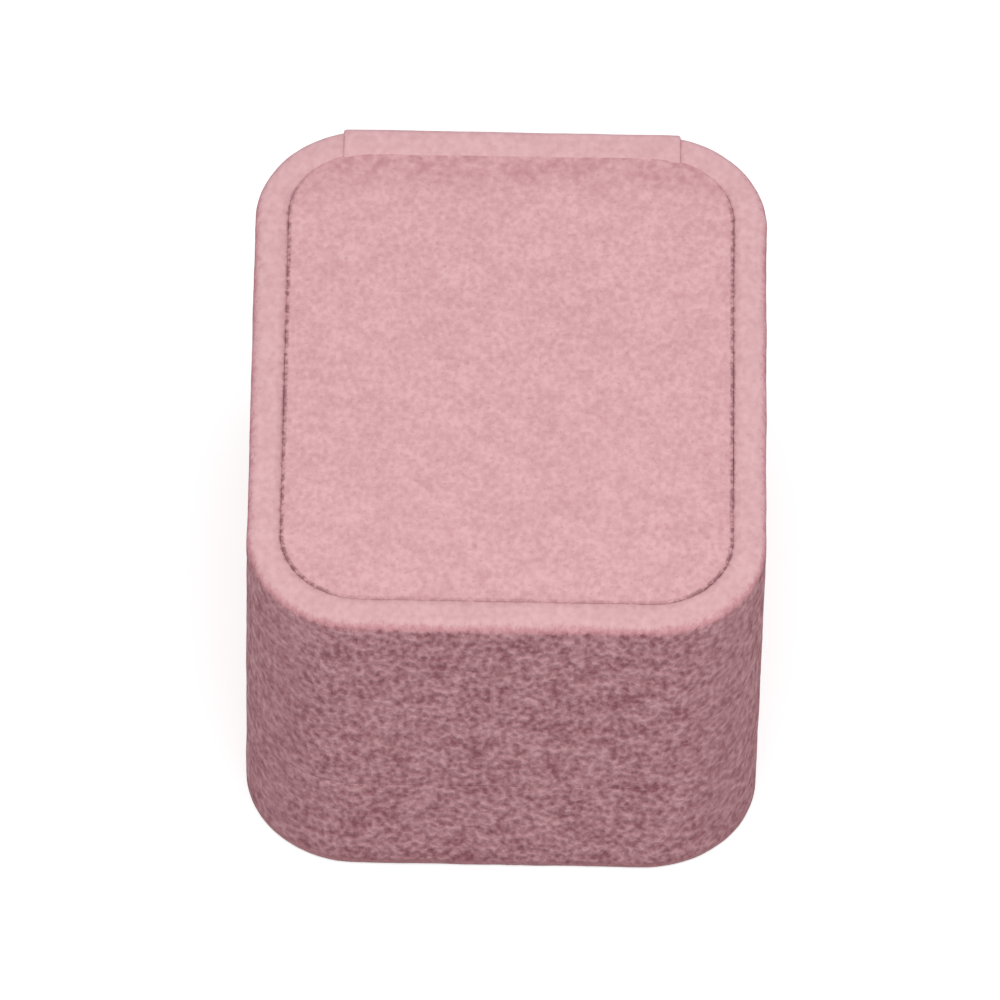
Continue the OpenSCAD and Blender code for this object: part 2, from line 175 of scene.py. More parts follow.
class Finish:
    """A material being built up, node by node. On a piece that bends it reads where
    the points were laid, so that its pattern bends too."""

    def __init__(self, name, bends=False):
        self.bends = bends
        self.material = bpy.data.materials.new(name)
        self.material.use_nodes = True
        self.tree = self.material.node_tree
        self.tree.nodes.clear()

    def node(self, kind, settings, inputs, output=0):
        """A node with its settings, and then the values or wires of its sockets."""
        made = self.tree.nodes.new("ShaderNode" + kind)
        for key, value in settings.items():
            setattr(made, key, value)
        for key, value in inputs.items():
            if isinstance(value, Wire):
                self.tree.links.new(value.socket, made.inputs[key])
            else:
                made.inputs[key].default_value = value
        return Wire(self, made.outputs[output]) if made.outputs else None

    def place(self, stretch=(1, 1, 1)):
        """Where a point is on the piece, with the pattern stretched along the axes."""
        if self.bends:
            coordinates = self.node("Attribute", {"attribute_name": LAID}, {}, "Vector")
        else:
            coordinates = self.node("TexCoord", {}, {}, "Object")
        return self.node("Mapping", {}, {"Vector": coordinates, "Scale": stretch})

    def part(self, axis):
        return self.node("SeparateXYZ", {}, {"Vector": self.place()}, axis)

    def grain(self, size, where, detail=2.0, roughness=0.5):
        """Noise about a half, with its coarsest lumps of the given size."""
        return self.node("TexNoise", {},
                         {"Vector": where, "Scale": 1 / size, "Detail": detail,
                          "Roughness": roughness})

    def ramp(self, value, low, high):
        """Rises from 0 at low to 1 at high, which may be the lesser of the two."""
        return self.node("MapRange", {"clamp": True},
                         {"Value": value, "From Min": low, "From Max": high,
                          "To Min": 0.0, "To Max": 1.0})

    def mix(self, share, first, second):
        return self.node("Mix", {"data_type": "RGBA"}, {0: share, 6: first, 7: second}, 2)

    def bump(self, height, depth):
        return self.node("Bump", {}, {"Height": height, "Strength": 1.0, "Distance": depth})

    def shown(self, shader):
        self.node("OutputMaterial", {}, {"Surface": shader})
        return self.material

    def done(self, **sockets):
        """The material, shaded by the usual shader with these sockets."""
        named = {key.replace("_", " "): value for key, value in sockets.items()}
        return self.shown(self.node("BsdfPrincipled", {}, named))


def grey(shade):
    return (shade, shade, shade, 1)


table = Finish("pale_floor")
lighting = table.node("BsdfDiffuse", {}, {"Color": grey(FLOOR_SHADE)})
seen = table.node("BsdfDiffuse", {}, {"Color": grey(FLOOR_SEEN_SHADE)})
glow = table.node("Emission", {}, {"Color": grey(1), "Strength": FLOOR_GLOW})
bright = table.node("AddShader", {}, {0: seen, 1: glow})
by_camera = table.node("LightPath", {}, {}, "Is Camera Ray")
in_gloss = table.node("LightPath", {}, {}, "Is Glossy Ray")
through_glass = table.node("LightPath", {}, {}, "Is Transmission Ray")
watched = (by_camera + in_gloss + through_glass).maths("MINIMUM", 1)
floor_material = table.shown(
    table.node("MixShader", {}, {0: watched, 1: lighting, 2: bright}))

floor_mesh = bmesh.new()
bmesh.ops.create_grid(floor_mesh, x_segments=1, y_segments=1, size=FLOOR_SIZE / 2,
                      matrix=Matrix.Translation((0, 0, -FLOOR_CLEAR)))
floor_data = bpy.data.meshes.new("floor")
floor_mesh.to_mesh(floor_data)
floor_mesh.free()
floor = bpy.data.objects.new("floor", floor_data)
floor_data.materials.append(floor_material)
scene.collection.objects.link(floor)
floor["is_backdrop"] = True


# ---- Frames. The walls of the lid and of the base, with their inner ledges, are each one
# moulding of off-white styrene. Its skin is matt, and faintly marked by the flow.

PLASTIC_FLOW = 6 * MM
PLASTIC_SKIN = 0.25 * MM
FINE_RELIEF = 0.01 * MM


def colour(red, green, blue):
    """An sRGB colour of 0 to 255, made linear."""
    parts = []
    for part in (red, green, blue):
        part /= 255
        parts.append(part / 12.92 if part <= 0.04045 else ((part + 0.055) / 1.055) ** 2.4)
    return (*parts, 1.0)


def dress(node, material):
    """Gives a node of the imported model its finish."""
    piece = frame["nodes"][node]
    piece.data.materials.clear()
    piece.data.materials.append(material)


plastic = Finish("moulded_plastic")
flow = plastic.grain(PLASTIC_FLOW, plastic.place(), detail=3)
skin = plastic.grain(PLASTIC_SKIN, plastic.place(), detail=1)
plastic_material = plastic.done(
    Base_Color=plastic.mix(plastic.ramp(flow, 0.3, 0.7),
                           colour(232, 228, 219), colour(222, 217, 206)),
    Roughness=plastic.ramp(skin, -0.6, 1.2),
    Normal=plastic.bump(skin, FINE_RELIEF))
for node in ("lid_frame", "base_frame"):
    dress(node, plastic_material)


# ---- Hinge leaves, pin, rivets and snap spring. They are zinc-plated steel sheet and wire
# with the fine lines of rolling, bent to shape and riveted through the rear walls.

ROLLING_SIZE = 0.4 * MM
ROLLING_STRETCH = (0.08, 1, 1)

steel = Finish("plated_steel")
rolling = steel.grain(ROLLING_SIZE, steel.place(ROLLING_STRETCH), detail=3)
steel_material = steel.done(
    Base_Color=steel.mix(rolling, colour(186, 188, 192), colour(214, 215, 216)),
    Metallic=1.0,
    Roughness=0.25 + rolling * 0.25,
    Normal=steel.bump(rolling, FINE_RELIEF))
for node in ("base_hinge_leaf", "lid_hinge_leaf", "hinge_pin", "snap_spring",
             "base_hinge_rivets", "lid_hinge_rivets"):
    dress(node, steel_material)


# ---- Boards and cards. Grey bookbinding board is cut to the panels, the pads and the
# cushion, and glued under their cloth. A paler card stiffens the linings.

PULP_FIBRE = 0.5 * MM
PULP_STRETCH = (0.4, 1, 1)
PULP_FLECK = 0.35 * MM
PULP_RELIEF = 0.03 * MM


def pulp(name, shade, fibre_shade):
    """Pressed waste paper, with its fibres drawn one way and a few dark flecks."""
    board = Finish(name)
    fibres = board.grain(PULP_FIBRE, board.place(PULP_STRETCH), detail=4, roughness=0.7)
    flecks = board.ramp(board.grain(PULP_FLECK, board.place(), detail=2), 0.62, 0.70)
    return board.done(
        Base_Color=board.mix(flecks, board.mix(fibres, shade, fibre_shade),
                             colour(120, 112, 100)),
        Roughness=0.9,
        Normal=board.bump(fibres, PULP_RELIEF))


grey_board = pulp("grey_board", colour(160, 154, 146), colour(178, 172, 163))
for node in ("top_board", "bottom_board", "insert_board", "lid_cushion_board"):
    dress(node, grey_board)
lining_card = pulp("lining_card", colour(206, 198, 184), colour(220, 213, 200))
for node in ("lid_lining_card", "base_lining_card"):
    dress(node, lining_card)


# ---- Side velvet. One band round the lid's wall and one round the base's, glued to the
# frame and turned in over both rims. The bands stop at the strip that covers the hinge,
# and their pile is brushed flat and pale where it is drawn tight over a rim.

VELVET_THICKNESS = 0.9 * MM
VELVET_STEP = 0.8 * MM           # about the length of its mesh's edges
CORNER_RADIUS = 13.3 * MM
WALL_OUTSIDE = 0.9 * MM          # distances in from the box's outside face
WALL_INSIDE = 3.0 * MM
RIM_INSIDE = 3.9 * MM
RIM_ROUND = 1.2 * MM
FOOT_ROUND = 0.5 * MM
FOLD_ROUND = 0.2 * MM
MOUTH_ROUND = 0.08 * MM
MOUTH_PILE = 0.12 * MM           # the pile at the lid's mouth and the base's almost meet
TURN_IN = 6 * MM                 # how far it is turned in past the mouth
LEDGE_DEPTH = 3.3 * MM           # from the top or the underside to the ledge
HINGE = Vector(frame["joints"][0]["pos_m"])
BEVEL_SLOPE = math.tan(math.radians(57.5))
BEVEL_SKIN = 0.12 * MM           # how far it stands out from the bevel behind the hinge
CURVE_STEPS = 6                  # the edges in a rounded corner
MERGE = 0.01 * MM                # points closer than this are one
CLOTH_WAVES = ((0.08 * MM, 6 * MM), (0.04 * MM, 1.7 * MM))   # heights and lengths

lid_low, lid_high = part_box("lid_side_velvet")
base_low, base_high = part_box("base_side_velvet")
strip_low, strip_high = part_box("spine_velvet")
HALF_WIDTH = lid_high.x
HALF_DEPTH = -lid_low.y
BOX_TOP = lid_high.z
BOX_MIDDLE = BOX_TOP / 2

SIDE_TIP = colour(233, 179, 186)
# the deep colour at the roots, partly painted shade in the pits between the clumps
SIDE_ROOT_AND_PIT_SHADE = colour(166, 106, 115)
SIDE_NAP = 0.7 * MM              # how wide the clumps of its pile are, and how deep
SIDE_NAP_DEPTH = 0.45 * MM
RIM_TIP = colour(229, 184, 188)
# painted shade along the grooves, and the colour of the dark flecks in the pile
FLECK_AND_GROOVE_SHADE = colour(158, 112, 118)
REAR_BLOTCH = colour(186, 128, 134)   # darker, in blotches along the rear of the panel's groove
FLUSH = colour(214, 138, 149)    # where the pile opens at the turn of a rim
SHEEN = colour(240, 195, 200)
FLECK_STRENGTH = 0.24
REAR_BLOTCH_STRENGTH = 0.6
FLUSH_STRENGTH = 1.6
CORNER_CALM = 0.25               # how much less the clumps stand out at the box's corners
BRUSHED_FLAT = 0.92              # and where the pile is brushed over a rim
NAP_STRETCH = (1.0, 0.8, 0.72)   # the clumps are a little longer than wide
NAP_SPREAD = (0.42, 0.76)        # where in the nap's noise roots alone show, and tips alone
FIBRE_SIZE = 0.3 * MM
FLECK_SIZE = 0.5 * MM
STROKE_RATIO = 3.5               # how much wider than a clump a hand's stroke is
STROKE_STRETCH = (0.45, 0.75, 1.0)
GROOVE_SHADE_WIDTH = 0.34 * MM
PIT_SIZE = 0.7 * MM
BLOTCH_SIZE = 1.4 * MM
REAR_BLOTCH_FROM, REAR_BLOTCH_WHOLE = 9 * MM, 1 * MM    # in from the groove
CORNER_SPAN = (10 * MM, 4 * MM)  # where a change starts and ends, in from the outside face
FLANK_SPAN = (12 * MM, 7 * MM)
REAR_SPAN = (13 * MM, 6 * MM)


def add_object(name, mesh, material):
    """Turns a bmesh into a smooth object, with its normals pointing out, and marks on
    its points where they lie, for materials on pieces that bend."""
    bmesh.ops.recalc_face_normals(mesh, faces=mesh.faces)
    for face in mesh.faces:
        face.smooth = True
    data = bpy.data.meshes.new(name)
    mesh.to_mesh(data)
    mesh.free()
    data.materials.append(material)
    laid = data.attributes.new(LAID, "FLOAT_VECTOR", "POINT")
    laid.data.foreach_set("vector", [value for vert in data.vertices for value in vert.co])
    piece = bpy.data.objects.new(name, data)
    scene.collection.objects.link(piece)
    return piece


def outline(corners, step):
    """A closed outline from corners with radii, as edges about a step long."""
    mesh = bmesh.new()
    verts = [mesh.verts.new(place) for place, _ in corners]
    mesh.faces.new(verts)
    for vert, (_, radius) in zip(verts, corners):
        if radius:
            bmesh.ops.bevel(mesh, geom=[vert], offset=radius, offset_type="OFFSET",
                            segments=CURVE_STEPS, profile=0.5, affect="VERTICES", material=-1)
    bmesh.ops.delete(mesh, geom=mesh.faces[:], context="FACES_ONLY")
    for edge in mesh.edges[:]:
        cuts = round(edge.calc_length() / step) - 1
        if cuts > 0:
            bmesh.ops.subdivide_edges(mesh, edges=[edge], cuts=cuts)
    return mesh


def swept_ring(corners, step):
    """A closed outline of (distance in, height, radius) corners, swept round the box."""
    mesh = outline([((HALF_WIDTH - inset, 0, height), radius)
                    for inset, height, radius in corners], step)
    straight_x = HALF_WIDTH - CORNER_RADIUS
    straight_y = HALF_DEPTH - CORNER_RADIUS
    arc_steps = round(CORNER_RADIUS * math.pi / 2 / step)

    def push(geometry, shift):
        steps = max(1, round(Vector(shift).length / step))
        return bmesh.ops.spin(mesh, geom=geometry, cent=(0, 0, 0), axis=(0, 0, 1), angle=0,
                              dvec=Vector(shift) / steps, steps=steps)["geom_last"]

    def bend(geometry, x, y):
        return bmesh.ops.spin(mesh, geom=geometry, cent=(x, y, 0), axis=(0, 0, 1),
                              angle=math.pi / 2, steps=arc_steps)["geom_last"]

    moving = push(mesh.verts[:] + mesh.edges[:], (0, straight_y, 0))
    moving = bend(moving, straight_x, straight_y)
    push(moving, (-straight_x, 0, 0))
    for axis in "XY":
        bmesh.ops.mirror(mesh, geom=mesh.verts[:] + mesh.edges[:] + mesh.faces[:],
                         axis=axis, merge_dist=MERGE)
    bmesh.ops.remove_doubles(mesh, verts=mesh.verts, dist=MERGE)
    return mesh


def close_ends(mesh):
    """Fills every open loop with a face, and gives the new faces."""
    return bmesh.ops.holes_fill(mesh, edges=[edge for edge in mesh.edges if edge.is_boundary],
                                sides=0)["faces"]


def cut_for_strip(mesh, half_width):
    """Opens a ring at the back, between two upright planes, and closes its ends."""
    for side in (-1, 1):
        rear = dict.fromkeys(part for face in mesh.faces if face.calc_center_median().y > 0
                             for part in (face, *face.verts, *face.edges))
        bmesh.ops.bisect_plane(mesh, geom=list(rear), plane_co=(side * half_width, 0, 0),
                               plane_no=(1, 0, 0))
    covered = [face for face in mesh.faces if face.calc_center_median().y > 0
               and abs(face.calc_center_median().x) < half_width]
    bmesh.ops.delete(mesh, geom=covered, context="FACES")
    close_ends(mesh)


def lay_on_bevel(mesh, side):
    """Pushes the velvet back to the slope behind the hinge line, above or below it."""
    for vert in mesh.verts:
        behind = vert.co.y - HINGE.y
        if behind > 0:
            slope = HINGE.z + side * (behind * BEVEL_SLOPE - BEVEL_SKIN)
            vert.co.z = max(vert.co.z, slope) if side > 0 else min(vert.co.z, slope)


def unsettle(mesh):
    """Takes the machine flatness off a stretched cloth, which still stands on the table."""
    bmesh.ops.recalc_face_normals(mesh, faces=mesh.faces)
    mesh.normal_update()
    for vert in mesh.verts:
        swell = sum(height * noise.noise(vert.co / length) for height, length in CLOTH_WAVES)
        vert.co += vert.normal * swell
    for vert in mesh.verts:
        vert.co.z = max(vert.co.z, 0)


def reach(pile):
    """How far out a point lies from the straight-sided middle of the box's outline."""
    sides = []
    for axis, half in (("X", HALF_WIDTH), ("Y", HALF_DEPTH)):
        away = abs(pile.part(axis)) - (half - CORNER_RADIUS)
        sides.append(away.maths("MAXIMUM", 0))
    return (sides[0] * sides[0] + sides[1] * sides[1]).maths("SQRT")


def towards(pile, place, side, span):
    """Rises from 0 to 1 on the way out to a side of the box."""
    start, end = span
    return pile.ramp(place, side - start, side - end)


def over_rim(pile, clumps, fibres):
    """Rises from 0 to 1 where the pile is drawn over a rim, with a ragged start."""
    ragged = (fibres - 0.5) * (0.6 * RIM_ROUND) + (clumps - 0.5) * (0.3 * RIM_ROUND)
    return pile.ramp(abs(pile.part("Z") - BOX_MIDDLE) + ragged,
                     BOX_MIDDLE - RIM_ROUND, BOX_MIDDLE - 0.15 * RIM_ROUND)


def painted_groove_shade(pile, colours, root_and_pit_shade, apart, rear, clumps, fibres):
    """Painted shade along a groove, broken into pits: most at the flanks, not at the rear."""
    flank = towards(pile, abs(pile.part("X")), HALF_WIDTH, FLANK_SPAN)
    pits = pile.ramp(pile.grain(PIT_SIZE, pile.place()), 0.40, 0.58)
    margin = pile.ramp(apart + (clumps - 0.5) * GROOVE_SHADE_WIDTH, 3 * GROOVE_SHADE_WIDTH, 0.0)
    groove_line = pile.ramp(apart + (fibres - 0.5) * GROOVE_SHADE_WIDTH,
                       GROOVE_SHADE_WIDTH, 0.2 * GROOVE_SHADE_WIDTH)
    # painted shade: near the groove the pile is darkened towards its root colour
    colours = pile.mix(margin * (0.3 - rear * 0.3), colours, root_and_pit_shade)
    # painted shade in the groove itself, broken into pits
    shaded = groove_line * (0.2 + pits * 0.8) * (0.45 + flank * 0.55) * (1 - rear)
    return pile.mix(shaded, colours, FLECK_AND_GROOVE_SHADE)


def rear_blotches(pile, colours, apart, rear, strokes):
    """Pile darker in blotches along the rear of a groove."""
    blotches = pile.ramp(pile.grain(BLOTCH_SIZE, pile.place()), 0.42, 0.62)
    darkened = pile.ramp(apart + (strokes - 0.5) * REAR_BLOTCH_FROM, REAR_BLOTCH_FROM, REAR_BLOTCH_WHOLE) * rear
    return pile.mix(darkened * (0.25 + blotches * 0.75) * REAR_BLOTCH_STRENGTH, colours, REAR_BLOTCH)


def velvet(name, tip, root_and_pit_shade, nap_size, nap_depth, groove=None, rim_tip=None, bends=False):
    """Pile that is pale at its tips and deep at its roots, and stands in small soft clumps.
    The deep colour between the clumps is partly painted shade in the pits.
    A groove is its reach and the side of it that the pile is on, 1 for inside it."""
    pile = Finish(name, bends)
    where = pile.place(NAP_STRETCH)
    clumps = pile.grain(nap_size, where, detail=0.7)
    fibres = pile.grain(FIBRE_SIZE, where, detail=1.0)
    strokes = pile.grain(STROKE_RATIO * nap_size, pile.place(STROKE_STRETCH),
                         detail=3.0, roughness=0.6)
    corner = (towards(pile, abs(pile.part("X")), HALF_WIDTH, CORNER_SPAN)
              * towards(pile, abs(pile.part("Y")), HALF_DEPTH, CORNER_SPAN))
    calm = 1 - corner * CORNER_CALM
    # where the tips stand; between them the root colour is partly painted pit shade
    standing_and_lit = pile.ramp(clumps * 0.6 + fibres * 0.2 + strokes * 0.38, *NAP_SPREAD)
    standing_and_lit = (standing_and_lit - 0.5) * calm + 0.5
    flecks = pile.ramp(pile.grain(FLECK_SIZE, pile.place()), 0.59, 0.71)
    colours = pile.mix(flecks * FLECK_STRENGTH, pile.mix(standing_and_lit, root_and_pit_shade, tip), FLECK_AND_GROOVE_SHADE)
    relief = (clumps + fibres * 0.15) * calm
    if rim_tip:
        brushed = over_rim(pile, clumps, fibres)
        colours = pile.mix(brushed, colours, pile.mix(standing_and_lit * 0.25 + 0.75, root_and_pit_shade, rim_tip))
        colours = pile.mix(brushed * (1 - brushed) * FLUSH_STRENGTH, colours, FLUSH)
        relief = relief * (1 - brushed * BRUSHED_FLAT)
    if groove:
        edge, side = groove
        apart = (edge - reach(pile)) * side
        rear = towards(pile, pile.part("Y"), HALF_DEPTH, REAR_SPAN)
        colours = painted_groove_shade(pile, colours, root_and_pit_shade, apart, rear, clumps, fibres)
        if side > 0:
            colours = rear_blotches(pile, colours, apart, rear, strokes)
    return pile.done(
        Base_Color=colours,
        Roughness=1.0,
        Specular_IOR_Level=0.1,
        Sheen_Weight=0.1,
        Sheen_Roughness=0.5,
        Sheen_Tint=SHEEN,
        Normal=pile.bump(relief, nap_depth))


def side_band(name, near, far, rim_round, bevel_side):
    """A band whose mouth is at height near and whose outer rim is at height far."""
    way = 1 if far > near else -1
    mouth = near + way * VELVET_THICKNESS
    rim = far - way * VELVET_THICKNESS
    ledge = far - way * LEDGE_DEPTH
    turned = near + way * TURN_IN
    pile = near - way * MOUTH_PILE
    mesh = swept_ring([
        (0, pile, MOUTH_ROUND), (0, far, rim_round), (RIM_INSIDE, far, FOLD_ROUND),
        (RIM_INSIDE, ledge, 0), (WALL_INSIDE, ledge, 0),
        (WALL_INSIDE, rim, 0), (WALL_OUTSIDE, rim, 0),
        (WALL_OUTSIDE, mouth, 0), (WALL_INSIDE, mouth, 0),
        (WALL_INSIDE, turned, 0), (RIM_INSIDE, turned, 0),
        (RIM_INSIDE, pile, FOLD_ROUND)], VELVET_STEP)
    unsettle(mesh)
    cut_for_strip(mesh, strip_high.x)
    lay_on_bevel(mesh, bevel_side)
    return add_object(name, mesh, side_velvet)


side_velvet = velvet("side_velvet", SIDE_TIP, SIDE_ROOT_AND_PIT_SHADE, SIDE_NAP, SIDE_NAP_DEPTH,
                     groove=(CORNER_RADIUS - RIM_INSIDE, -1), rim_tip=RIM_TIP, bends=True)
lid_band = side_band("lid_velvet_band", lid_low.z, lid_high.z, RIM_ROUND, 1)
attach(lid_band, "lid")
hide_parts("lid_side_velvet")
base_band = side_band("base_velvet_band", base_high.z, base_low.z, FOOT_ROUND, -1)
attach(base_band, "base")
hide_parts("base_side_velvet")


# ---- Spine strip. One piece of velvet glued down the back over the hinge and folded over
# both rear rims into the recesses. It bends on the hinge line as the lid swings back.

STRIP_THICKNESS = 0.9 * MM
STRIP_FOLD_BACK = 3.9 * MM       # how far the folds reach over the rims from the back
STRIP_EDGE_ROUND = 0.3 * MM
STRIP_EDGE_STEPS = 2
STRIP_WANDER = 0.10 * MM         # how unevenly its edges were cut
STRIP_WANDER_SPAN = 4 * MM
STRIP_WANDER_REACH = 2 * MM      # how far in from its long edges that is felt
SIDES_APART = 50                 # takes the noise of the left and the right edge apart
STRIP_LAP = 0.3 * MM             # its pile lies over the edge of the inset panel
STRIP_LAP_SPAN = 2 * MM
STRIP_SINK = 0.08 * MM
STRIP_FRONT = HALF_DEPTH - STRIP_FOLD_BACK
STRIP_HEM = STRIP_FRONT + STRIP_THICKNESS
BEND_LOW = 13.0 * MM
BEND_HIGH = 18.2 * MM
BEND_STEP = 0.3 * MM


def strip_outline():
    """The strip's C-shaped section at its left edge, finer where it will bend."""
    back, front, hem = strip_high.y, STRIP_FRONT, STRIP_HEM
    top, foot = strip_high.z, strip_low.z
    inner = back - STRIP_THICKNESS
    under, over = top - STRIP_THICKNESS, foot + STRIP_THICKNESS
    upper_ledge, lower_ledge = BOX_TOP - LEDGE_DEPTH, LEDGE_DEPTH
    section = [(front, upper_ledge, 0), (front, top, FOLD_ROUND), (back, top, RIM_ROUND),
               (back, foot, FOOT_ROUND), (front, foot, FOLD_ROUND), (front, lower_ledge, 0),
               (hem, lower_ledge, 0), (hem, over, 0), (inner, over, 0),
               (inner, under, 0), (hem, under, 0), (hem, upper_ledge, 0)]
    mesh = outline([((strip_low.x, y, z), radius) for y, z, radius in section], VELVET_STEP)
    bending = [edge for edge in mesh.edges
               if all(BEND_LOW - VELVET_STEP < vert.co.z < BEND_HIGH + VELVET_STEP
                      for vert in edge.verts)]
    for edge in bending:
        bmesh.ops.subdivide_edges(mesh, edges=[edge],
                                  cuts=round(edge.calc_length() / BEND_STEP) - 1)
    return mesh


def lay_strip(mesh):
    """Takes the folds round the recess's corners, leaves the cut edges uneven, and laps
    the upper one over the inset panel."""
    straight = HALF_WIDTH - CORNER_RADIUS
    recess_radius = CORNER_RADIUS - STRIP_FOLD_BACK
    for vert in mesh.verts:
        past = abs(vert.co.x) - straight
        if past > 0:
            drop = recess_radius - math.sqrt(recess_radius ** 2 - past ** 2)
            vert.co.y -= drop * min(1, (strip_high.y - vert.co.y) / STRIP_FOLD_BACK)
        nearness = max(0, 1 - (strip_high.x - abs(vert.co.x)) / STRIP_WANDER_REACH)
        spot = Vector((vert.co.x * SIDES_APART, vert.co.y, vert.co.z))
        wander = nearness * STRIP_WANDER * noise.noise(spot / STRIP_WANDER_SPAN)
        vert.co.x += math.copysign(wander, vert.co.x)
        if vert.co.z > strip_high.z - STRIP_THICKNESS and vert.co.y < STRIP_HEM:
            overlap = (STRIP_HEM - vert.co.y) / STRIP_THICKNESS
            wander = STRIP_WANDER * noise.noise(vert.co / STRIP_LAP_SPAN)
            vert.co.y -= overlap * (STRIP_LAP + wander)
            vert.co.z -= overlap * STRIP_SINK


def spine_strip():
    """The section, pushed across the box from one edge to the other and rounded there."""
    mesh = strip_outline()
    width = strip_high.x - strip_low.x
    steps = round(width / VELVET_STEP)
    bmesh.ops.spin(mesh, geom=mesh.verts[:] + mesh.edges[:], cent=(0, 0, 0), axis=(0, 0, 1),
                   angle=0, dvec=(width / steps, 0, 0), steps=steps)
    rims = dict.fromkeys(edge for face in close_ends(mesh) for edge in face.edges)
    bmesh.ops.bevel(mesh, geom=list(rims), offset=STRIP_EDGE_ROUND, offset_type="OFFSET",
                    segments=STRIP_EDGE_STEPS, profile=0.5, affect="EDGES", material=-1)
    lay_strip(mesh)
    unsettle(mesh)
    return add_object("spine_velvet_strip", mesh, side_velvet)


strip = spine_strip()
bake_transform(strip)
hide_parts("spine_velvet")


# ---- Inset panels. Velvet drawn over a grey board and folded under it, pressed into the
# recess in the lid's top and in the base's underside, so that its edge meets the rim.

PANEL_INSIDE = 4.02 * MM         # from the box's outside face to the panel's edge
PANEL_FOLD = 5 * MM
PANEL_ROUND = 0.2 * MM
PANEL_PRESS = 0.15 * MM          # how far the pile at its edge is pressed to the rim
PANEL_NAP = 0.62 * MM
PANEL_NAP_DEPTH = 0.1 * MM
WALL_SLACK = 0.2 * MM            # how near to an upright wall's place its faces lie
panel_velvet = velvet("panel_velvet", colour(230, 182, 187), colour(211, 160, 165),
                      PANEL_NAP, PANEL_NAP_DEPTH, groove=(CORNER_RADIUS - PANEL_INSIDE, 1))


def outward(point):
    """The way out to a point from the straight-sided middle of the box's outline."""
    x = math.copysign(max(abs(point.x) - (HALF_WIDTH - CORNER_RADIUS), 0), point.x)
    y = math.copysign(max(abs(point.y) - (HALF_DEPTH - CORNER_RADIUS), 0), point.y)
    return Vector((x, y, 0))


def inset_panel(name, outer, way):
    """A panel whose face is at height outer and looks up, or down where way is -1."""
    inner = outer - way * LEDGE_DEPTH
    face = outer - way * VELVET_THICKNESS
    fold = inner + way * VELVET_THICKNESS
    board_edge = PANEL_INSIDE + VELVET_THICKNESS
    hem = PANEL_INSIDE + PANEL_FOLD
    mesh = swept_ring([
        (PANEL_INSIDE, outer, PANEL_ROUND), (hem, outer, 0), (hem, face, 0),
        (board_edge, face, 0), (board_edge, fold, 0), (hem, fold, 0), (hem, inner, 0),
        (PANEL_INSIDE, inner, FOLD_ROUND)], VELVET_STEP)

    def within(part):
        """Whether a face is in the upright wall that two sheets across the middle replace."""
        middle = part.calc_center_median()
        return (abs(outward(middle).length - (CORNER_RADIUS - hem)) < WALL_SLACK
                and min(outer, face) < middle.z < max(outer, face))

    bmesh.ops.delete(mesh, geom=[part for part in mesh.faces if within(part)],
                     context="FACES")
    open_edges = [edge for edge in mesh.edges if edge.is_boundary]
    for height in (outer, face):
        loop = [edge for edge in open_edges
                if all(abs(vert.co.z - height) < MERGE for vert in edge.verts)]
        bmesh.ops.contextual_create(mesh, geom=loop)
    for vert in mesh.verts:
        away = outward(vert.co)
        if away.length > CORNER_RADIUS - PANEL_INSIDE - VELVET_THICKNESS / 2:
            vert.co += away.normalized() * PANEL_PRESS
    return add_object(name, mesh, panel_velvet)


top_panel = inset_panel("top_panel_velvet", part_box("top_velvet")[1].z, 1)
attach(top_panel, "lid")
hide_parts("top_velvet")
bottom_panel = inset_panel("bottom_panel_velvet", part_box("bottom_velvet")[0].z, -1)
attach(bottom_panel, "base")
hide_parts("bottom_velvet")


# ---- Satin linings. A strip of pale rose satin round the inside of the lid and of the
# base, drawn over the lining card and folded over its edge, with a faint ripple.

SATIN_THICKNESS = 0.5 * MM
SATIN_STEP = 1.0 * MM
SATIN_SHADE = colour(236, 212, 210)
SATIN_WEAVE = 0.9 * MM           # the sizes of what shows in its surface
SLUB_SIZE = 0.7 * MM
PULL_SIZE = 5 * MM
LUSTRE_SIZE = 9 * MM
SATIN_RELIEF = 0.05 * MM
CARD_END = 4.7 * MM              # from the box's outside face to the card's inner face
LINING_ROUND = 0.4 * MM
RIPPLE = 0.12 * MM
RIPPLE_SPAN = Vector((7, 7, 30)) * MM


def satin(name, shadow):
    """Smooth cloth with a close weave of threads, faint pulls and a soft shine."""
    cloth = Finish(name)
    where = cloth.place()
    warp = cloth.node("TexWave", {"wave_type": "BANDS", "bands_direction": "DIAGONAL"},
                      {"Vector": where, "Scale": 1 / SATIN_WEAVE, "Distortion": 0.6,
                       "Detail": 1.0})
    slub = cloth.grain(SLUB_SIZE, cloth.place((1, 0.12, 0.12)), detail=3)
    pulls = cloth.grain(PULL_SIZE, cloth.place((1, 0.3, 1)), detail=2, roughness=0.4)
    lustre = cloth.ramp(cloth.grain(LUSTRE_SIZE, where, detail=2), 0.3, 0.7)
    return cloth.done(
        Base_Color=cloth.mix(slub * 0.55 + lustre * 0.45, shadow, SATIN_SHADE),
        Roughness=0.26 + slub * 0.2,
        Specular_IOR_Level=0.7,
        Sheen_Weight=0.25,
        Sheen_Roughness=0.35,
        Normal=cloth.bump(pulls * 6 + slub * 0.5 + warp * 0.15, SATIN_RELIEF))


lining_satin = satin("lining_satin", colour(224, 194, 192))


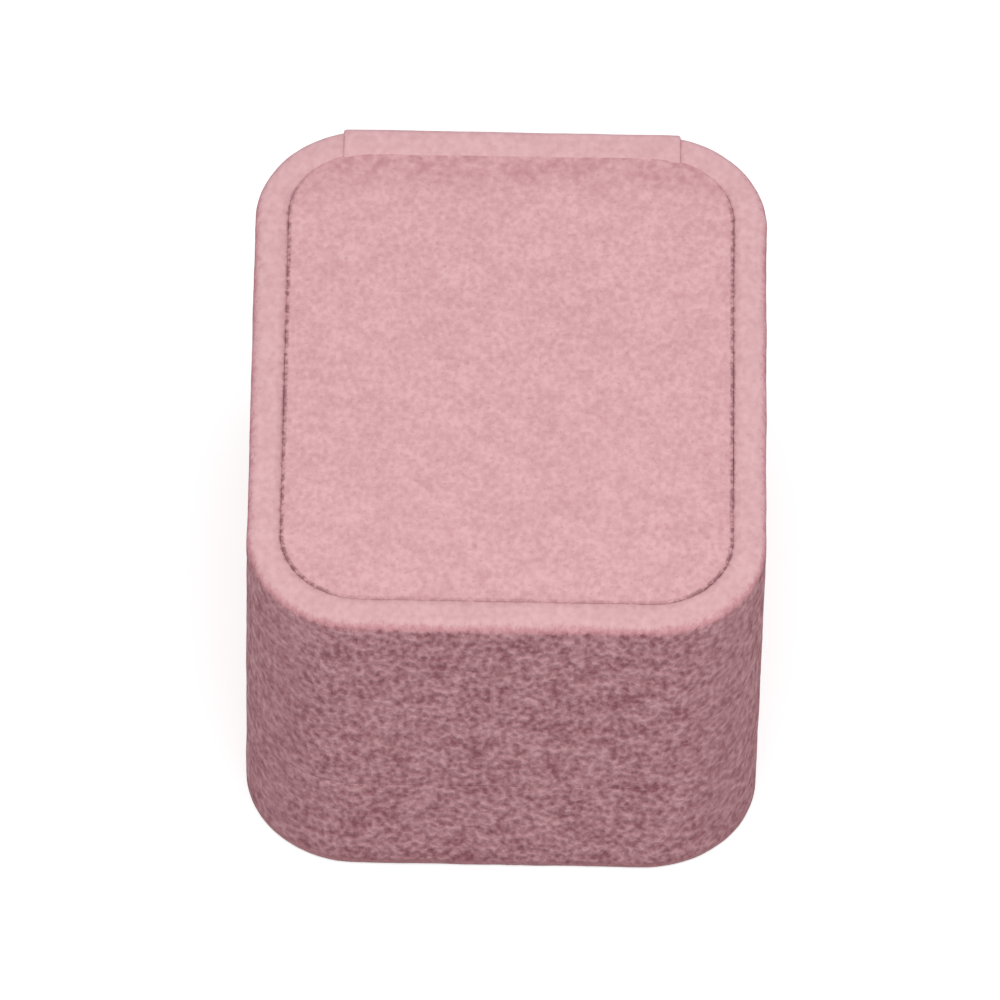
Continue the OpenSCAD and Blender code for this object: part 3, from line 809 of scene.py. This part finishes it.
def lining(name, mouth, floor_height):
    """A lining whose folded edge is at height mouth and whose other edge is deeper in."""
    way = 1 if mouth > floor_height else -1
    back = mouth - way * SATIN_THICKNESS
    face = CARD_END + SATIN_THICKNESS
    mesh = swept_ring([
        (RIM_INSIDE, mouth, 0), (face, mouth, LINING_ROUND), (face, floor_height, 0),
        (CARD_END, floor_height, 0), (CARD_END, back, 0), (RIM_INSIDE, back, 0)], SATIN_STEP)
    for vert in mesh.verts:
        away = outward(vert.co)
        if away.length < CORNER_RADIUS - CARD_END - SATIN_THICKNESS / 2:
            slack = Vector(a / b for a, b in zip(vert.co, RIPPLE_SPAN))
            vert.co += away.normalized() * RIPPLE * noise.noise(slack)
    return add_object(name, mesh, lining_satin)


for node, body, name in (("lid_lining_satin", "lid", "lid_satin_lining"),
                         ("base_lining_satin", "base", "base_satin_lining")):
    low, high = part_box(node)
    ends = (low.z, high.z) if body == "lid" else (high.z, low.z)
    piece = lining(name, *ends)
    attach(piece, body)
    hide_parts(node)


# ---- Ring pads. Two blocks of foam under velvet, glued down side by side, with the slot
# for the ring between them. The velvet is drawn over the foam, so it swells and rounds.

INSERT_INSIDE = 5.5 * MM         # from the box's outside face to the pads' outer edge
SLOT_CORNER = 3 * MM
PAD_SHRINK = 0.3 * MM            # the pad starts smaller, and swells to its size
PAD_EDGE = 2.2 * MM
PAD_COVER = 0.6 * MM
PAD_NAP = 0.9 * MM
PAD_NAP_DEPTH = 0.3 * MM
CELL_SIZE = 0.6 * MM
CELL_DEPTH = 0.15 * MM
CLOTH_SCALE = 12                 # the cloth is simulated at this many times its size
CLOTH_VOXEL = 0.65 * MM
CLOTH_FRAMES = 20
CLOTH_PRESSURE = 4
PUFF_OUT = 0.45 * MM             # how far the cover may swell, and how far it may sink
PUFF_IN = 0.08 * MM
PUFF_SMOOTHING = 6

foam = Finish("cut_foam")
cells = foam.grain(CELL_SIZE, foam.place(), detail=2, roughness=0.7)
foam_material = foam.done(
    Base_Color=foam.mix(cells, colour(222, 212, 178), colour(243, 236, 212)),
    Roughness=0.95,
    Normal=foam.bump(cells, CELL_DEPTH))


def pad_block(corners, foot, face):
    """A block on an outline of (x, y, radius) corners, with its upper edge rounded."""
    mesh = bmesh.new()
    verts = [mesh.verts.new((x, y, foot)) for x, y, _ in corners]
    mesh.faces.new(verts)
    for vert, (_, _, radius) in zip(verts, corners):
        bmesh.ops.bevel(mesh, geom=[vert], offset=radius, offset_type="OFFSET",
                        segments=2 * CURVE_STEPS, profile=0.5, affect="VERTICES", material=-1)
    sides = bmesh.ops.extrude_face_region(mesh, geom=mesh.faces[:], use_keep_orig=True)
    raised = [part for part in sides["geom"] if isinstance(part, bmesh.types.BMVert)]
    bmesh.ops.translate(mesh, verts=raised, vec=(0, 0, face - foot))
    brink = [edge for edge in mesh.edges
             if all(abs(vert.co.z - face) < MERGE for vert in edge.verts)]
    bmesh.ops.bevel(mesh, geom=brink, offset=PAD_EDGE, offset_type="OFFSET",
                    segments=CURVE_STEPS, profile=0.5, affect="EDGES", material=-1)
    bmesh.ops.recalc_face_normals(mesh, faces=mesh.faces)
    return mesh


def evaluated(blank):
    return blank.evaluated_get(bpy.context.evaluated_depsgraph_get())


def cloth_blank(name, mesh):
    """A closed block as an even mesh of small faces, at the cloth's scale."""
    bmesh.ops.scale(mesh, vec=(CLOTH_SCALE,) * 3, verts=mesh.verts)
    data = bpy.data.meshes.new(name)
    mesh.to_mesh(data)
    mesh.free()
    blank = bpy.data.objects.new(name, data)
    scene.collection.objects.link(blank)
    remesh = blank.modifiers.new("remesh", "REMESH")
    remesh.mode = "VOXEL"
    remesh.voxel_size = CLOTH_VOXEL * CLOTH_SCALE
    data = bpy.data.meshes.new_from_object(evaluated(blank))
    blank.modifiers.clear()
    blank.data = data
    return blank


def swollen(blank, held):
    """Where the blank's points get to under pressure from inside, with some held."""
    group = blank.vertex_groups.new(name="held")
    group.add(held, 1.0, "REPLACE")
    cloth = blank.modifiers.new("cloth", "CLOTH")
    cloth.settings.vertex_group_mass = "held"
    cloth.settings.use_pressure = True
    cloth.settings.uniform_pressure_force = CLOTH_PRESSURE
    cloth.settings.effector_weights.gravity = 0
    cloth.point_cache.frame_end = CLOTH_FRAMES
    for step in range(1, CLOTH_FRAMES + 1):
        scene.frame_set(step)
    places = [vert.co.copy() for vert in evaluated(blank).data.vertices]
    scene.frame_set(1)
    return places


def puffed(name, mesh, foot, way):
    """Swells a closed block as cloth that is held at its foot, and opens it there. It
    stands up from its foot where way is 1, and hangs from it where way is -1."""
    blank = cloth_blank(name, mesh)
    data = blank.data
    starts = [vert.co.copy() for vert in data.vertices]
    outwards = [vert.normal.copy() for vert in data.vertices]
    held = [index for index, spot in enumerate(starts)
            if (spot.z / CLOTH_SCALE - foot) * way < CLOTH_VOXEL]
    ends = swollen(blank, held)
    bpy.data.objects.remove(blank)
    shape = bmesh.new()
    shape.from_mesh(data)
    for vert, start, end, away in zip(shape.verts, starts, ends, outwards):
        swell = (end - start).dot(away) / CLOTH_SCALE
        vert.co = start / CLOTH_SCALE + away * max(-PUFF_IN, min(PUFF_OUT, swell))
    free = [vert for vert in shape.verts if (vert.co.z - foot) * way > CLOTH_VOXEL]
    for _ in range(PUFF_SMOOTHING):
        bmesh.ops.smooth_vert(shape, verts=free, factor=0.5, use_axis_x=True,
                              use_axis_y=True, use_axis_z=True)
    beneath = [face for face in shape.faces
               if all((vert.co.z - foot) * way < CLOTH_VOXEL / 2 for vert in face.verts)]
    bmesh.ops.delete(shape, geom=beneath, context="FACES")
    for vert in shape.verts:
        if vert.is_boundary:
            vert.co.z = foot
    return shape


def soft_cover(name, shape, material, thickness):
    """Makes the opened form a cover of cloth with a thickness."""
    piece = add_object(name, shape, material)
    smoother = piece.modifiers.new("smoother", "SUBSURF")
    smoother.levels = 1
    smoother.render_levels = 1
    wall = piece.modifiers.new("thickness", "SOLIDIFY")
    wall.thickness = thickness
    wall.offset = -1
    return piece


pad_velvet = velvet("pad_velvet", colour(226, 180, 185), colour(196, 143, 150),
                    PAD_NAP, PAD_NAP_DEPTH)
for node, name, side in (("front_pad_velvet", "front_ring_pad", -1),
                         ("rear_pad_velvet", "rear_ring_pad", 1)):
    low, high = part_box(node)
    pad_x = high.x - PAD_SHRINK
    pad_out = (high.y if side > 0 else -low.y) - PAD_SHRINK
    pad_slot = (low.y if side > 0 else -high.y) + PAD_SHRINK
    outer_round = CORNER_RADIUS - INSERT_INSIDE - PAD_SHRINK
    block = pad_block([(-pad_x, side * pad_slot, SLOT_CORNER),
                       (pad_x, side * pad_slot, SLOT_CORNER),
                       (pad_x, side * pad_out, outer_round),
                       (-pad_x, side * pad_out, outer_round)],
                      low.z, high.z - PUFF_OUT)
    pad = soft_cover(name, puffed(name, block, low.z, 1), pad_velvet, PAD_COVER)
    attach(pad, "base")
    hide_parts(node)
for node in ("front_pad_foam", "rear_pad_foam", "lid_cushion_foam"):
    dress(node, foam_material)


# ---- Lid cushion. A thin sheet of foam on a board, under smooth satin that is glued
# behind the board, so that it hangs from the lid's ceiling in one soft crown.

CUSHION_COVER = 0.45 * MM

cushion_satin = satin("cushion_satin", colour(226, 197, 195))
low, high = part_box("lid_cushion_satin")
cushion_x = high.x - PAD_SHRINK
cushion_y = high.y - PAD_SHRINK
cushion_round = CORNER_RADIUS - (HALF_WIDTH - high.x) - PAD_SHRINK
block = pad_block([(-cushion_x, -cushion_y, cushion_round),
                   (cushion_x, -cushion_y, cushion_round),
                   (cushion_x, cushion_y, cushion_round),
                   (-cushion_x, cushion_y, cushion_round)],
                  -high.z, -(low.z + PUFF_OUT))
bmesh.ops.scale(block, vec=(1, 1, -1), verts=block.verts)
bmesh.ops.reverse_faces(block, faces=block.faces)
cushion = soft_cover("lid_satin_cushion", puffed("lid_satin_cushion", block, high.z, -1),
                     cushion_satin, CUSHION_COVER)
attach(cushion, "lid")
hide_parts("lid_cushion_satin")


low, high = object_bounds()
